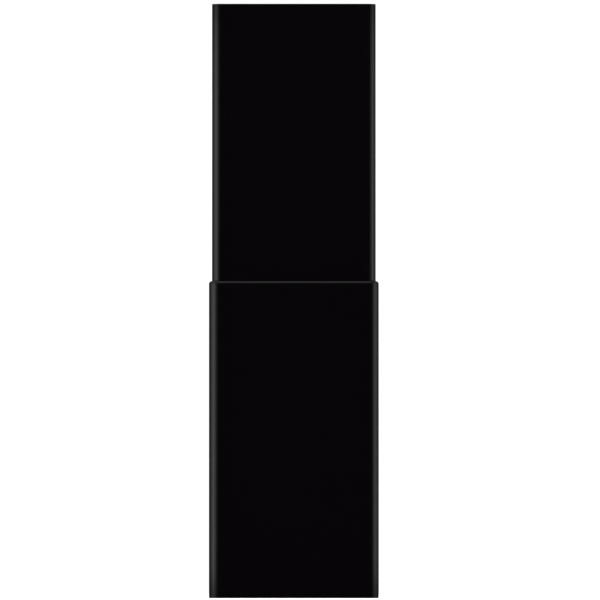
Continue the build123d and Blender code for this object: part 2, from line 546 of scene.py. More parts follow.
class Lay(Enum):
    """Which way the fine lines of a surface run."""

    UPRIGHT = "upright"
    ROUND = "round"
    ACROSS = "across"


LINE_STRETCH: dict[Lay, Triple] = {
    Lay.UPRIGHT: (1.0, 1.0, 0.02),
    Lay.ROUND: (0.02, 0.02, 1.0),
    Lay.ACROSS: (0.02, 1.0, 1.0),
}


@dataclass(frozen=True)
class Surface:
    """A material while it is being made.

    Attributes:
        tree: the material's nodes.
        shader: its surface shader.
        where: object coordinates, in metres.
    """

    tree: bpy.types.NodeTree
    shader: bpy.types.Node
    where: Socket

    def add(self, kind: str, inputs: Optional[Inputs] = None, **settings: Any) -> Socket:
        """Adds a node and returns its first output."""
        return add_node(self.tree, kind, inputs, **settings).outputs[0]

    def wear(self, inputs: Inputs) -> None:
        """Links or sets the shader's inputs."""
        plug(self.tree, self.shader, inputs)

    def pattern(
        self, size: float, lay: Optional[Lay] = None, turn: Triple = (0.0, 0.0, 0.0), detail: float = 2.0
    ) -> Socket:
        """A noise whose features are size mm apart, drawn out along a lay if one is given.

        Args:
            size: distance between features, in millimetres.
            lay: which way it is drawn out, or None for an even grain.
            turn: how far the pattern is turned, in degrees about X, Y and Z.
            detail: octaves of finer noise.

        Returns:
            The noise, around 0.5.
        """
        placed = self.add("ShaderNodeMapping", {
            "Vector": self.where,
            "Rotation": tuple(math.radians(degrees) for degrees in turn),
            "Scale": LINE_STRETCH[lay] if lay else (1.0, 1.0, 1.0),
        })
        noise = add_node(self.tree, "ShaderNodeTexNoise", {
            "Vector": placed, "Scale": per_mm(size), "Detail": detail, "Roughness": OCTAVE_SHARE,
        })
        return noise.outputs["Fac"]

    def relief(self, *layers: tuple[Socket, float]) -> Socket:
        """Lays bumps over one another.

        Args:
            layers: a height, from 0 to 1, and its depth in millimetres for each, the lowest first.

        Returns:
            The way that the surface faces.
        """
        under: Inputs = {}
        for height, depth in layers:
            under["Normal"] = self.add("ShaderNodeBump", {
                "Height": height, "Distance": depth * MM, **under,
            })
        return under["Normal"]


@dataclass(frozen=True)
class Finish:
    """What every finish has.

    Attributes:
        name: the material's name, which says what the surface really is.
        colour: its sRGB colour, as six hex digits.
        roughness: its roughness.
    """

    name: str
    colour: str
    roughness: float

    def material(self) -> bpy.types.Material:
        """Makes the material, or finds it if it has been made.

        Returns:
            The material.
        """
        known = bpy.data.materials.get(self.name)
        if known is not None:
            return known
        made = bpy.data.materials.new(self.name)
        made.use_nodes = True
        tree = made.node_tree
        where = add_node(tree, "ShaderNodeTexCoord").outputs["Object"]
        surface = Surface(tree, tree.nodes["Principled BSDF"], where)
        surface.wear({"Base Color": linear(self.colour), "Roughness": self.roughness})
        self.dress(surface)
        return made

    def uneven(self, sheen: Range) -> Inputs:
        """The inputs of a Map Range node that turns a noise into shares of the finish's own roughness."""
        return limits(MIDDLE, (self.roughness * sheen[0], self.roughness * sheen[1]))

    def dress(self, surface: Surface) -> None:
        """Adds the finish's own nodes to the material."""


@dataclass(frozen=True)
class GlossAbs(Finish):
    """Black ABS from a polished mould: a deep, even gloss, with the hairlines of handling.

    The mould leaves a very slight waviness. Hairlines run up and down, the way the
    cap is pulled. Real ones are about 0.01 mm wide, and are drawn 0.09 mm wide here,
    because finer ones wouldn't show.

    Attributes:
        wave: distance between the waves, in millimetres.
        wave_depth: depth of the waves, in millimetres.
        hairline: width of a hairline, in millimetres.
        hairline_depth: depth of a hairline, in millimetres.
        hairline_turns: the two ways that hairlines lean, in degrees about X, Y and Z.
        hairline_share: range of the noise over which a hairline begins.
        hairline_haze: roughness that a hairline adds.
        smear: distance between duller and brighter areas, in millimetres.
        sheen: roughness of the brightest and the dullest areas, as shares.
        ior: refractive index of ABS.
    """

    wave: float = 7.0
    wave_depth: float = 0.0006
    hairline: float = 0.09
    hairline_depth: float = 0.00006
    hairline_turns: tuple[Triple, Triple] = ((0.0, 7.0, 0.0), (11.0, -16.0, 40.0))
    hairline_share: Range = (0.70, 0.78)
    hairline_haze: float = 0.02
    smear: float = 9.0
    sheen: Range = (0.85, 1.2)
    ior: float = 1.54

    def dress(self, surface: Surface) -> None:
        """Adds waviness, hairlines and a faint variation of the gloss.

        Args:
            surface: the material being made.
        """
        first, second = (
            surface.add("ShaderNodeMapRange", {
                "Value": surface.pattern(self.hairline, Lay.UPRIGHT, turn, 1.0),
                **limits(self.hairline_share, WHOLE),
            })
            for turn in self.hairline_turns
        )
        hairs = surface.add("ShaderNodeMath", {0: first, 1: second}, operation="MAXIMUM")
        gloss = surface.add("ShaderNodeMapRange", {
            "Value": surface.pattern(self.smear), **self.uneven(self.sheen),
        })
        waves = surface.pattern(self.wave, detail=0.0)
        surface.wear({
            "Roughness": surface.add("ShaderNodeMath", {
                0: hairs, 1: self.hairline_haze, 2: gloss,
            }, operation="MULTIPLY_ADD"),
            "Normal": surface.relief((waves, self.wave_depth), (hairs, -self.hairline_depth)),
            "IOR": self.ior,
        })


@dataclass(frozen=True)
class SatinPlastic(Finish):
    """Plastic from a spark-eroded mould: an even, fine grain and a soft sheen.

    Attributes:
        grain: distance between the pits of the grain, in millimetres.
        grain_depth: depth of the pits, in millimetres.
        rubbing: distance between more and less rubbed areas, in millimetres.
        sheen: roughness of the most and the least rubbed areas, as shares.
        ior: refractive index of the plastic.
    """

    grain: float = 0.12
    grain_depth: float = 0.003
    rubbing: float = 2.4
    sheen: Range = (0.88, 1.12)
    ior: float = 1.49

    def dress(self, surface: Surface) -> None:
        """Adds the eroded grain and slight rubbing of the sheen.

        Args:
            surface: the material being made.
        """
        pits = surface.pattern(self.grain, detail=3.0)
        surface.wear({
            "Normal": surface.relief((pits, self.grain_depth)),
            "Roughness": surface.add("ShaderNodeMapRange", {
                "Value": surface.pattern(self.rubbing), **self.uneven(self.sheen),
            }),
            "IOR": self.ior,
        })


@dataclass(frozen=True)
class Acetal(Finish):
    """Moulded acetal: waxy and slightly translucent, with faint rings where parts have run on it.

    Attributes:
        ring: distance between the rings, in millimetres.
        ring_depth: depth of the rings, in millimetres.
        sheen: roughness on the rings and between them, as shares.
        translucency: share of the light that passes into it.
        depth: how far light passes into it, in millimetres.
        spread: how far each of red, green and blue goes, as shares of that.
        ior: refractive index of acetal.
    """

    ring: float = 0.25
    ring_depth: float = 0.001
    sheen: Range = (0.8, 1.2)
    translucency: float = 0.0
    depth: float = 0.6
    spread: Triple = (1.0, 0.95, 0.85)
    ior: float = 1.48

    def dress(self, surface: Surface) -> None:
        """Adds the running marks and the translucency.

        Args:
            surface: the material being made.
        """
        rings = surface.pattern(self.ring, Lay.ROUND, detail=1.0)
        surface.wear({
            "Normal": surface.relief((rings, self.ring_depth)),
            "Roughness": surface.add("ShaderNodeMapRange", {"Value": rings, **self.uneven(self.sheen)}),
            "IOR": self.ior,
            "Subsurface Weight": self.translucency,
            "Subsurface Radius": self.spread,
            "Subsurface Scale": self.depth * MM,
        })


@dataclass(frozen=True)
class BrightAluminium(Finish):
    """Drawn aluminium, bright dipped and anodised: a soft mirror with fine lines round it.

    Attributes:
        line: distance between the drawn lines, in millimetres.
        line_depth: depth of those lines, in millimetres.
        band: distance between the broader bands of the drawing, in millimetres.
        band_depth: depth of those bands, in millimetres.
        cloud: distance between clouds of the oxide, in millimetres.
        sheen: roughness of the clearest and the cloudiest areas, as shares.
    """

    line: float = 0.05
    line_depth: float = 0.0006
    band: float = 0.45
    band_depth: float = 0.0012
    cloud: float = 3.0
    sheen: Range = (0.85, 1.2)

    def dress(self, surface: Surface) -> None:
        """Adds the drawn lines and the slight cloudiness of the oxide.

        Args:
            surface: the material being made.
        """
        bands = surface.pattern(self.band, Lay.ROUND, detail=1.0)
        lines = surface.pattern(self.line, Lay.ROUND)
        surface.wear({
            "Metallic": 1.0,
            "Normal": surface.relief((bands, self.band_depth), (lines, self.line_depth)),
            "Roughness": surface.add("ShaderNodeMapRange", {
                "Value": surface.pattern(self.cloud), **self.uneven(self.sheen),
            }),
        })


@dataclass(frozen=True)
class LipstickWax(Finish):
    """Moulded lipstick: a creamy, even colour with a flamed sheen and light passing into it.

    Attributes:
        deep: colour where the pigment is denser.
        mottle: distance between denser and thinner pigment, in millimetres.
        dent: distance between the soft dents of the flamed surface, in millimetres.
        dent_depth: depth of the dents, in millimetres.
        pore: distance between pores, in millimetres.
        pore_depth: depth of the pores, in millimetres.
        translucency: share of the light that passes into it.
        depth: how far light passes into it, in millimetres.
        spread: how far each of red, green and blue goes, as shares of that.
        ior: refractive index of the wax.
    """

    deep: str = "98142D"
    mottle: float = 3.5
    dent: float = 2.4
    dent_depth: float = 0.012
    pore: float = 0.35
    pore_depth: float = 0.0008
    translucency: float = 0.25
    depth: float = 0.8
    spread: Triple = (1.0, 0.25, 0.2)
    ior: float = 1.45

    def dress(self, surface: Surface) -> None:
        """Adds pigment mottling, soft unevenness and the glow of the wax.

        Args:
            surface: the material being made.
        """
        denser = surface.add("ShaderNodeMapRange", {
            "Value": surface.pattern(self.mottle), **limits(MIDDLE, WHOLE),
        })
        pigment = add_node(surface.tree, "ShaderNodeMix", {
            "Factor": denser, COLOUR_A: linear(self.colour), COLOUR_B: linear(self.deep),
        }, data_type="RGBA")
        dents = surface.pattern(self.dent, detail=1.0)
        pores = surface.pattern(self.pore, detail=1.0)
        surface.wear({
            "Base Color": pigment.outputs[COLOUR_OUT],
            "Normal": surface.relief((dents, self.dent_depth), (pores, self.pore_depth)),
            "IOR": self.ior,
            "Subsurface Weight": self.translucency,
            "Subsurface Radius": self.spread,
            "Subsurface Scale": self.depth * MM,
        })


@dataclass(frozen=True)
class ZincPlate(Finish):
    """Zinc-plated steel plate, as sheared: rolled lines under a bright, patchy coat.

    Attributes:
        line: distance between the rolled lines, in millimetres.
        line_depth: depth of the lines, in millimetres.
        patch: distance between patches of the coat, in millimetres.
        sheen: roughness of the brightest and the dullest patches, as shares.
    """

    line: float = 0.08
    line_depth: float = 0.002
    patch: float = 2.5
    sheen: Range = (0.78, 1.33)

    def dress(self, surface: Surface) -> None:
        """Adds the rolling lines and the coat's patches.

        Args:
            surface: the material being made.
        """
        lines = surface.pattern(self.line, Lay.ACROSS)
        surface.wear({
            "Metallic": 1.0,
            "Normal": surface.relief((lines, self.line_depth)),
            "Roughness": surface.add("ShaderNodeMapRange", {
                "Value": surface.pattern(self.patch, detail=3.0), **self.uneven(self.sheen),
            }),
        })


@dataclass(frozen=True)
class Silicone(Finish):
    """Translucent silicone rubber: milky, soft-looking and a little dusty.

    Attributes:
        dust: distance between specks of dust, in millimetres.
        sheen: roughness of the cleanest and the dustiest areas, as shares.
        clearness: share of the light that passes through.
        ior: refractive index of silicone.
    """

    dust: float = 0.3
    sheen: Range = (0.78, 1.33)
    clearness: float = 0.35
    ior: float = 1.41

    def dress(self, surface: Surface) -> None:
        """Adds the milky body and its dust.

        Args:
            surface: the material being made.
        """
        surface.wear({
            "IOR": self.ior,
            "Transmission Weight": self.clearness,
            "Roughness": surface.add("ShaderNodeMapRange", {
                "Value": surface.pattern(self.dust, detail=3.0), **self.uneven(self.sheen),
            }),
        })


@dataclass(frozen=True)
class LabelPaper(Finish):
    """Coated paper sticker, blank: flat white, with a trace of its fibres.

    Attributes:
        shade: colour between the fibres.
        fibre: width of a fibre, in millimetres.
        fibre_depth: how far the fibres stand out, in millimetres.
        fibre_turn: which way the fibres run, in degrees about X, Y and Z.
    """

    shade: str = "C9C8C4"
    fibre: float = 0.25
    fibre_depth: float = 0.004
    fibre_turn: Triple = (0.0, 0.0, 33.0)

    def dress(self, surface: Surface) -> None:
        """Adds the fibres to its relief and colour.

        Args:
            surface: the material being made.
        """
        fibres = surface.pattern(self.fibre, Lay.ACROSS, self.fibre_turn, 3.0)
        between = surface.add("ShaderNodeMapRange", {"Value": fibres, **limits(MIDDLE, WHOLE)})
        paper = add_node(surface.tree, "ShaderNodeMix", {
            "Factor": between, COLOUR_A: linear(self.colour), COLOUR_B: linear(self.shade),
        }, data_type="RGBA")
        surface.wear({
            "Normal": surface.relief((fibres, self.fibre_depth)),
            "Base Color": paper.outputs[COLOUR_OUT],
        })


CASE_PLASTIC = GlossAbs("moulded_gloss_abs", "040304", 0.045)
LINER_PLASTIC = SatinPlastic("moulded_satin_polypropylene", "121213", 0.42)
INSERT_PLASTIC = SatinPlastic("moulded_satin_abs", "101011", 0.34, grain=0.10, rubbing=2.0, ior=1.54)
CUP_PLASTIC = SatinPlastic("moulded_black_polypropylene", "141415", 0.38)
GUIDE_PLASTIC = Acetal("black_acetal", "131314", 0.30)
SPIRAL_PLASTIC = Acetal("natural_acetal", "E6E2D6", 0.34, translucency=0.3)
COLLAR_METAL = BrightAluminium("bright_anodised_aluminium", "DDDFE2", 0.17)
BULLET_WAX = LipstickWax("moulded_lipstick", "A31631", 0.30)
WEIGHT_STEEL = ZincPlate("zinc_plated_steel", "B9BCC0", 0.36)
BRAKE_SILICONE = Silicone("translucent_silicone", "D9D6CC", 0.45)
LABEL_PAPER = LabelPaper("coated_label_paper", "DADAD8", 0.55)


def dress_cad(finish: Finish, node: str) -> None:
    """Puts a finish on a CAD node whose shape is kept."""
    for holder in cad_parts[node].material_slots:
        holder.material = finish.material()


def settle(piece: bpy.types.Object, finish: Finish, body: str, node: str) -> None:
    """Finishes a piece: its material, the body it rides on, and the node it stands for.

    Args:
        piece: the finished object.
        finish: the finish that it wears.
        body: the CAD body that it moves with.
        node: the CAD node that it replaces.
    """
    if not piece.data.materials:
        piece.data.materials.append(finish.material())
    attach(piece, body)
    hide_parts(node)
    log.info("%s: %d faces, on %s", piece.name, len(piece.data.polygons), body)


# --------------------------------------------------------------------------
# Sub-assemblies
# --------------------------------------------------------------------------


@dataclass
class CapAssembly:
    """The lift-off cap: a square gloss shell over a round ribbed liner.

    The edges are radii, collar_gap is from the collar to the ribs, and the facets
    and steps say how finely the liner is divided.
    """

    body: str = "cap"
    wall: float = 1.20 * MM
    corner: float = 1.10 * MM
    inside_corner: float = 0.60 * MM
    top: float = 1.40 * MM
    top_edge: float = 0.08 * MM
    mouth_edge: float = 0.06 * MM
    liner_wall: float = 0.50 * MM
    liner_top: float = 0.60 * MM
    liner_edge: float = 0.05 * MM
    flange_height: float = 0.80 * MM
    rib_count: int = 8
    rib_radius: float = 0.25 * MM
    rib_height: float = 7.0 * MM
    collar_gap: float = 0.03 * MM
    facets: int = 128
    corner_facets: int = 8
    rib_facets: int = 16
    edge_steps: int = 4

    def shell(self) -> bpy.types.Object:
        """Builds the outer shell.

        Returns:
            Its object.
        """
        low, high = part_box("cap_shell")
        half = high.x
        inner = half - self.wall
        ceiling = high.z - self.top
        section = [
            Corner(0.0, high.z),
            Corner(half, high.z, self.top_edge, self.corner),
            Corner(half, low.z, self.mouth_edge, self.corner),
            Corner(inner, low.z, self.mouth_edge, self.inside_corner),
            Corner(inner, ceiling, self.mouth_edge, self.inside_corner),
            Corner(0.0, ceiling),
        ]
        return loft_square("cap_outer_shell", round_section(section))

    def liner(self) -> bpy.types.Object:
        """Builds the liner: its closed tube, square mouth flange and grip ribs.

        Returns:
            Its object.
        """
        low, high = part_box("cap_liner")
        radius = high.x
        bore = radius - self.liner_wall
        ceiling = high.z - self.liner_top
        path_radius = (radius + bore) / 2.0
        wall_foot = low.z + self.flange_height / 2.0
        section = [
            Corner(0.0, high.z),
            Corner(radius, high.z, self.liner_edge),
            Corner(radius, wall_foot),
            Corner(bore, wall_foot),
            Corner(bore, ceiling, self.liner_edge),
            Corner(0.0, ceiling),
        ]
        stations = round_section(section, self.edge_steps, closed=True)
        line = section_mesh("liner_section", stations, path_radius)
        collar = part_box("collar")[1].x
        return ribbed_liner_tree().run("cap_inner_liner", line, {
            "Path Radius": path_radius,
            "Facets": self.facets,
            "Flange Width": 2.0 * radius,
            "Flange Corner": self.inside_corner,
            "Corner Facets": self.corner_facets,
            "Flange Height": self.flange_height,
            "Bore Radius": bore,
            "Mouth Height": low.z,
            "Rib Count": self.rib_count,
            "Rib Facets": self.rib_facets,
            "Rib Circle": collar + self.collar_gap + self.rib_radius,
            "Rib Radius": self.rib_radius,
            "Rib Height": self.rib_height,
            "Rib Middle": low.z + self.flange_height + self.rib_height / 2.0,
            "Material": LINER_PLASTIC.material(),
        })

    def build(self) -> None:
        """Builds and dresses the cap."""
        settle(self.shell(), CASE_PLASTIC, self.body, "cap_shell")
        settle(self.liner(), LINER_PLASTIC, self.body, "cap_liner")


@dataclass
class BaseAssembly:
    """The base: a square gloss shell round the insert, the weight and the fixed half of the mechanism.

    label_gap is from the sticker to the side of its recess.
    """

    body: str = "base"
    wall: float = 1.30 * MM
    floor: float = 1.20 * MM
    corner: float = 1.25 * MM
    inside_corner: float = 0.60 * MM
    rim_round: float = 0.35 * MM
    foot_edge: float = 0.08 * MM
    inside_edge: float = 0.05 * MM
    recess_corner: float = 1.50 * MM
    recess_depth: float = 0.30 * MM
    label_gap: float = 0.10 * MM
    edge_steps: int = 8

    def shell(self) -> bpy.types.Object:
        """Builds the outer shell, with its rounded rim and the sticker's recess.

        Returns:
            Its object.
        """
        low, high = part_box("base_shell")
        half = high.x
        inner = half - self.wall
        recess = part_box("bottom_label")[1].x + self.label_gap
        section = [
            Corner(0.0, low.z + self.floor),
            Corner(inner, low.z + self.floor, self.inside_edge, self.inside_corner),
            Corner(inner, high.z, self.inside_edge, self.inside_corner),
            Corner(half, high.z, self.rim_round, self.corner),
            Corner(half, low.z, self.foot_edge, self.corner),
            Corner(recess, low.z, self.inside_edge, self.recess_corner),
            Corner(recess, low.z + self.recess_depth, self.inside_edge, self.recess_corner),
            Corner(0.0, low.z + self.recess_depth),
        ]
        return loft_square("base_outer_shell", round_section(section, self.edge_steps))

    def build(self) -> None:
        """Builds and dresses the base."""
        settle(self.shell(), CASE_PLASTIC, self.body, "base_shell")
        dress_cad(INSERT_PLASTIC, "base_insert")
        dress_cad(GUIDE_PLASTIC, "guide_tube")
        dress_cad(BRAKE_SILICONE, "brake_band")
        dress_cad(WEIGHT_STEEL, "base_weight")
        dress_cad(LABEL_PAPER, "bottom_label")


@dataclass
class CollarAssembly:
    """The turning half of the mechanism: the metal collar and the spiral inside it.

    guide_bore is the radius inside the guide tube, which the collar's lip covers,
    and support is how near the ends of a straight its wall has an extra ring.
    """

    body: str = "collar"
    wall: float = 0.40 * MM
    top_round: float = 0.30 * MM
    lip_height: float = 0.40 * MM
    lip_edge: float = 0.12 * MM
    lip_gap: float = 0.10 * MM
    guide_bore: float = 6.58 * MM
    support: float = 0.12 * MM
    facets: int = 256
    edge_steps: int = 6

    def tube(self) -> bpy.types.Object:
        """Builds the collar's drawn tube with its rolled lip.

        Returns:
            Its object.
        """
        low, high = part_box("collar")
        radius = high.x
        inside = radius - self.wall
        lip = self.guide_bore + self.lip_gap
        path_radius = (radius + inside) / 2.0
        under_lip = high.z - self.lip_height
        section = [
            Corner(lip, high.z, self.lip_edge),
            Corner(radius, high.z, self.top_round),
            Corner(radius, low.z, self.lip_edge),
            Corner(inside, low.z, self.lip_edge),
            Corner(inside, under_lip, self.lip_edge),
            Corner(lip, under_lip, self.lip_edge),
        ]
        stations = with_supports(round_section(section, self.edge_steps, closed=True), self.support)
        line = section_mesh("collar_section", stations, path_radius)
        return turned_wall_tree().run("collar_tube", line, {
            "Path Radius": path_radius,
            "Facets": self.facets,
            "Material": COLLAR_METAL.material(),
        })

    def build(self) -> None:
        """Builds and dresses the turning parts."""
        settle(self.tube(), COLLAR_METAL, self.body, "collar")
        dress_cad(SPIRAL_PLASTIC, "spiral_sleeve")


@dataclass
class CupAssembly:
    """What rises: the cup, and the moulded lipstick that stands in it.

    Attributes:
        body: the CAD body that it moves with.
        slant_drop: from the tip down to the lowest point of the slant.
        slant_crown: part of the radius that is left uncut at the tip.
        crown_round: radius of the edge round the top.
        ridge_round: how softly the crown goes over into the slant.
        facets: how many sides the bullet has.
        rings: how many rings of faces its top has.
        sharp_above: edges that turn more than this many degrees stay sharp.
    """

    body: str = "cup"
    slant_drop: float = 8.0 * MM
    slant_crown: float = 0.45
    crown_round: float = 0.8 * MM
    ridge_round: float = 0.5 * MM
    facets: int = 128
    rings: int = 40
    sharp_above: float = 50.0

    def bullet_top(self, x: float, y: float, radius: float, tip: float) -> float:
        """Height of the bullet's top over a point: a crown at the back, a slant in front, a rounded rim.

        Args:
            x: across the bullet.
            y: from front to back.
            radius: the bullet's radius.
            tip: height of the crown.

        Returns:
            The height, in metres.
        """
        ridge = self.slant_crown * radius
        slope = self.slant_drop / (radius + ridge)
        gap = slope * (y - ridge)
        soft = self.ridge_round
        blended = (gap - math.sqrt(gap * gap + soft * soft)) / 2.0
        inset = max(radius - math.hypot(x, y), 0.0)
        rim = 0.0
        if inset < self.crown_round:
            rim = self.crown_round - math.sqrt(self.crown_round ** 2 - (self.crown_round - inset) ** 2)
        return tip + blended - rim

    def circle(self, radius: float) -> list[tuple[float, float]]:
        """The bullet's sides on a circle, seen from above."""
        angles = [TAU * i / self.facets for i in range(self.facets)]
        return [(radius * math.cos(angle), radius * math.sin(angle)) for angle in angles]

    def bullet(self) -> bpy.types.Object:
        """Builds the lipstick: a column with a slanted, rounded top.

        Returns:
            Its object.
        """
        low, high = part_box("bullet")
        radius = high.x
        points = [Vector((0.0, 0.0, self.bullet_top(0.0, 0.0, radius, high.z)))]
        for k in range(1, self.rings + 1):
            spread = math.sin(k / self.rings * math.pi / 2.0) * radius
            points += [
                Vector((x, y, self.bullet_top(x, y, radius, high.z))) for x, y in self.circle(spread)
            ]
        points += [Vector((x, y, low.z)) for x, y in self.circle(radius)]
        rings = [list(range(first, first + self.facets)) for first in range(1, len(points), self.facets)]
        faces: list[Ring] = []
        for i in range(self.facets):
            j = (i + 1) % self.facets
            faces.append([0, rings[0][i], rings[0][j]])
            for inner, outer in zip(rings, rings[1:]):
                faces.append([inner[i], outer[i], outer[j], inner[j]])
        faces.append(rings[-1][::-1])
        mesh = bpy.data.meshes.new("lipstick_bullet")
        mesh.from_pydata(points, [], faces)
        turn_outwards(mesh)
        soften(mesh, self.sharp_above)
        return link_object("lipstick_bullet", mesh)

    def build(self) -> None:
        """Builds and dresses the rising parts."""
        settle(self.bullet(), BULLET_WAX, self.body, "bullet")
        dress_cad(CUP_PLASTIC, "elevator_cup")


# --------------------------------------------------------------------------
# Studio
# --------------------------------------------------------------------------


def set_ramp(ramp: bpy.types.ColorRamp, stops: Stops) -> None:
    """Sets a grey ramp's stops.

    Args:
        ramp: the ramp.
        stops: a position from 0 to 1 and a level for each.
    """
    while len(ramp.elements) < len(stops):
        ramp.elements.new(1.0)
    for element, (position, level) in zip(ramp.elements, stops):
        element.position = position
        element.color = grey(level)


def fan_light(tree: bpy.types.NodeTree, where: Socket, fan: Stops) -> Socket:
    """How bright a card is at each angle round the case.

    Args:
        tree: the card's or the floor's nodes.
        where: object coordinates.
        fan: angles from the front in degrees, each with a level.

    Returns:
        The level, the same on the left as on the right.
    """
    parts = add_node(tree, "ShaderNodeSeparateXYZ", {0: where})
    ahead = add_node(tree, "ShaderNodeMath", {0: parts.outputs["Y"], 1: -1.0}, operation="MULTIPLY")
    aside = add_node(tree, "ShaderNodeMath", {0: parts.outputs["X"]}, operation="ABSOLUTE")
    angle = add_node(tree, "ShaderNodeMath", {
        0: aside.outputs[0], 1: ahead.outputs[0],
    }, operation="ARCTAN2")
    share = add_node(tree, "ShaderNodeMapRange", {
        "Value": angle.outputs[0], **limits((0.0, math.pi), WHOLE),
    })
    round_case = add_node(tree, "ShaderNodeValToRGB", {"Fac": share.outputs[0]})
    set_ramp(round_case.color_ramp, [(math.radians(degrees) / math.pi, level) for degrees, level in fan])
    return round_case.outputs["Color"]


@dataclass(frozen=True)
class LightCard:
    """A curved, lit cloth beside the case, which gives its rounded corners their bright lines.

    Attributes:
        name: its name.
        side: -1 for the left and 1 for the right, seen from the front.
        fan: how bright it is at each angle round from the front, in degrees.
        rise: how bright it is at each height, in millimetres, as a share.
        lift: the even light above the case, at each height in millimetres.
        lean: brightness of the even light on its left and right, as shares.
        lean_reach: from where to where it leans, across the middle, in metres.
        radius: how far it hangs from the case, in metres.
        low: height of its lower edge, in metres.
        high: height of its upper edge, in metres.
        columns: how many flat strips it is made of.
    """

    name: str
    side: float
    fan: Stops
    rise: Stops = (
        (0.0, 0.38), (0.8, 0.45), (1.5, 0.57), (2.2, 0.72), (3.0, 0.82), (4.4, 0.95), (6.5, 1.0),
        (70.0, 1.0), (74.5, 0.96), (78.5, 0.88), (81.5, 0.74), (83.0, 0.62), (85.5, 0.46), (95.0, 0.40),
    )
    lift: Stops = ((88.0, 0.0), (108.0, 0.13), (160.0, 0.20), (260.0, 0.26))
    lean: Range = (1.25, 0.75)
    lean_reach: Range = (-0.02, 0.02)
    radius: float = 0.25
    low: float = -0.02
    high: float = 0.26
    columns: int = 48

    def mesh(self) -> bpy.types.Mesh:
        """Makes the card's surface, an upright part of a cylinder round the case.

        Returns:
            The mesh.
        """
        points = []
        for i in range(self.columns + 1):
            angle = self.side * math.pi * i / self.columns
            for z in (self.low, self.high):
                points.append((self.radius * math.sin(angle), -self.radius * math.cos(angle), z))
        faces = [(i, i + 1, i + 3, i + 2) for i in range(0, 2 * self.columns, 2)]
        made = bpy.data.meshes.new(self.name)
        made.from_pydata(points, [], faces)
        return made

    def cloth(self) -> bpy.types.Material:
        """Makes the card's lit cloth.

        Returns:
            The material.
        """
        made = bpy.data.materials.new(self.name + "_cloth")
        made.use_nodes = True
        tree = made.node_tree
        tree.nodes.clear()
        where = add_node(tree, "ShaderNodeTexCoord").outputs["Object"]
        parts = add_node(tree, "ShaderNodeSeparateXYZ", {0: where})
        height = add_node(tree, "ShaderNodeMapRange", {
            "Value": parts.outputs["Z"], **limits((0.0, self.high), WHOLE),
        })
        levels = []
        for stops in (self.rise, self.lift):
            ramp = add_node(tree, "ShaderNodeValToRGB", {"Fac": height.outputs[0]})
            set_ramp(ramp.color_ramp, [(z * MM / self.high, level) for z, level in stops])
            levels.append(ramp.outputs["Color"])
        leaning = add_node(tree, "ShaderNodeMapRange", {
            "Value": parts.outputs["X"], **limits(self.lean_reach, self.lean),
        })
        leant = add_node(tree, "ShaderNodeVectorMath", {
            0: levels[1], "Scale": leaning.outputs[0],
        }, operation="SCALE")
        whole = add_node(tree, "ShaderNodeVectorMath", {
            0: fan_light(tree, where, self.fan), 1: levels[0], 2: leant.outputs[0],
        }, operation="MULTIPLY_ADD")
        light = add_node(tree, "ShaderNodeEmission", {"Color": whole.outputs[0]})
        add_node(tree, "ShaderNodeOutputMaterial", {"Surface": light.outputs[0]})
        made.cycles.emission_sampling = "NONE"
        return made

    def hang(self) -> bpy.types.Object:
        """Hangs the card where it is seen only in gloss.

        Returns:
            Its object.
        """
        made = link_object(self.name, self.mesh())
        made.data.materials.append(self.cloth())
        made.visible_camera = False
        made.visible_diffuse = False
        made.visible_shadow = False
        made.visible_transmission = False
        return made


@dataclass(frozen=True)
class Lamp:
    """A square soft lamp, which shades what isn't glossy.

    Attributes:
        name: its name.
        place: where it hangs, in metres.
        size: length of its side, in metres.
        power: its power, in watts.
    """

    name: str
    place: Triple
    size: float
    power: float

    def hang(self, aim: Triple) -> None:
        """Hangs the lamp.

        Args:
            aim: the point that it is turned to.
        """
        data = bpy.data.lights.new(self.name, "AREA")
        data.shape = "SQUARE"
        data.size = self.size
        data.energy = self.power
        made = link_object(self.name, data)
        made.location = self.place
        made.rotation_euler = (Vector(aim) - Vector(self.place)).to_track_quat("-Z", "Y").to_euler()
        made.visible_glossy = False
        made.visible_camera = False


LEFT_CARD = LightCard("left_card", -1.0, (
    (4.0, 0.0), (10.0, 0.015), (21.0, 0.08), (34.0, 0.32), (48.0, 0.80), (60.0, 1.16), (68.0, 1.20),
    (78.0, 0.95), (96.0, 0.46), (117.0, 0.12), (141.0, 0.06), (170.0, 0.04),
))
RIGHT_CARD = LightCard("right_card", 1.0, (
    (22.0, 0.0), (36.0, 0.03), (50.0, 0.20), (64.0, 0.60), (73.0, 0.78), (81.0, 0.78), (99.0, 0.50),
    (121.0, 0.15), (141.0, 0.07), (170.0, 0.04),
))

LAMPS = (
    Lamp("key_lamp", (-0.45, -0.45, 0.55), 0.40, 5.0),
    Lamp("fill_lamp", (0.55, -0.30, 0.40), 0.45, 2.6),
    Lamp("top_lamp", (0.0, 0.10, 0.75), 0.50, 3.4),
)


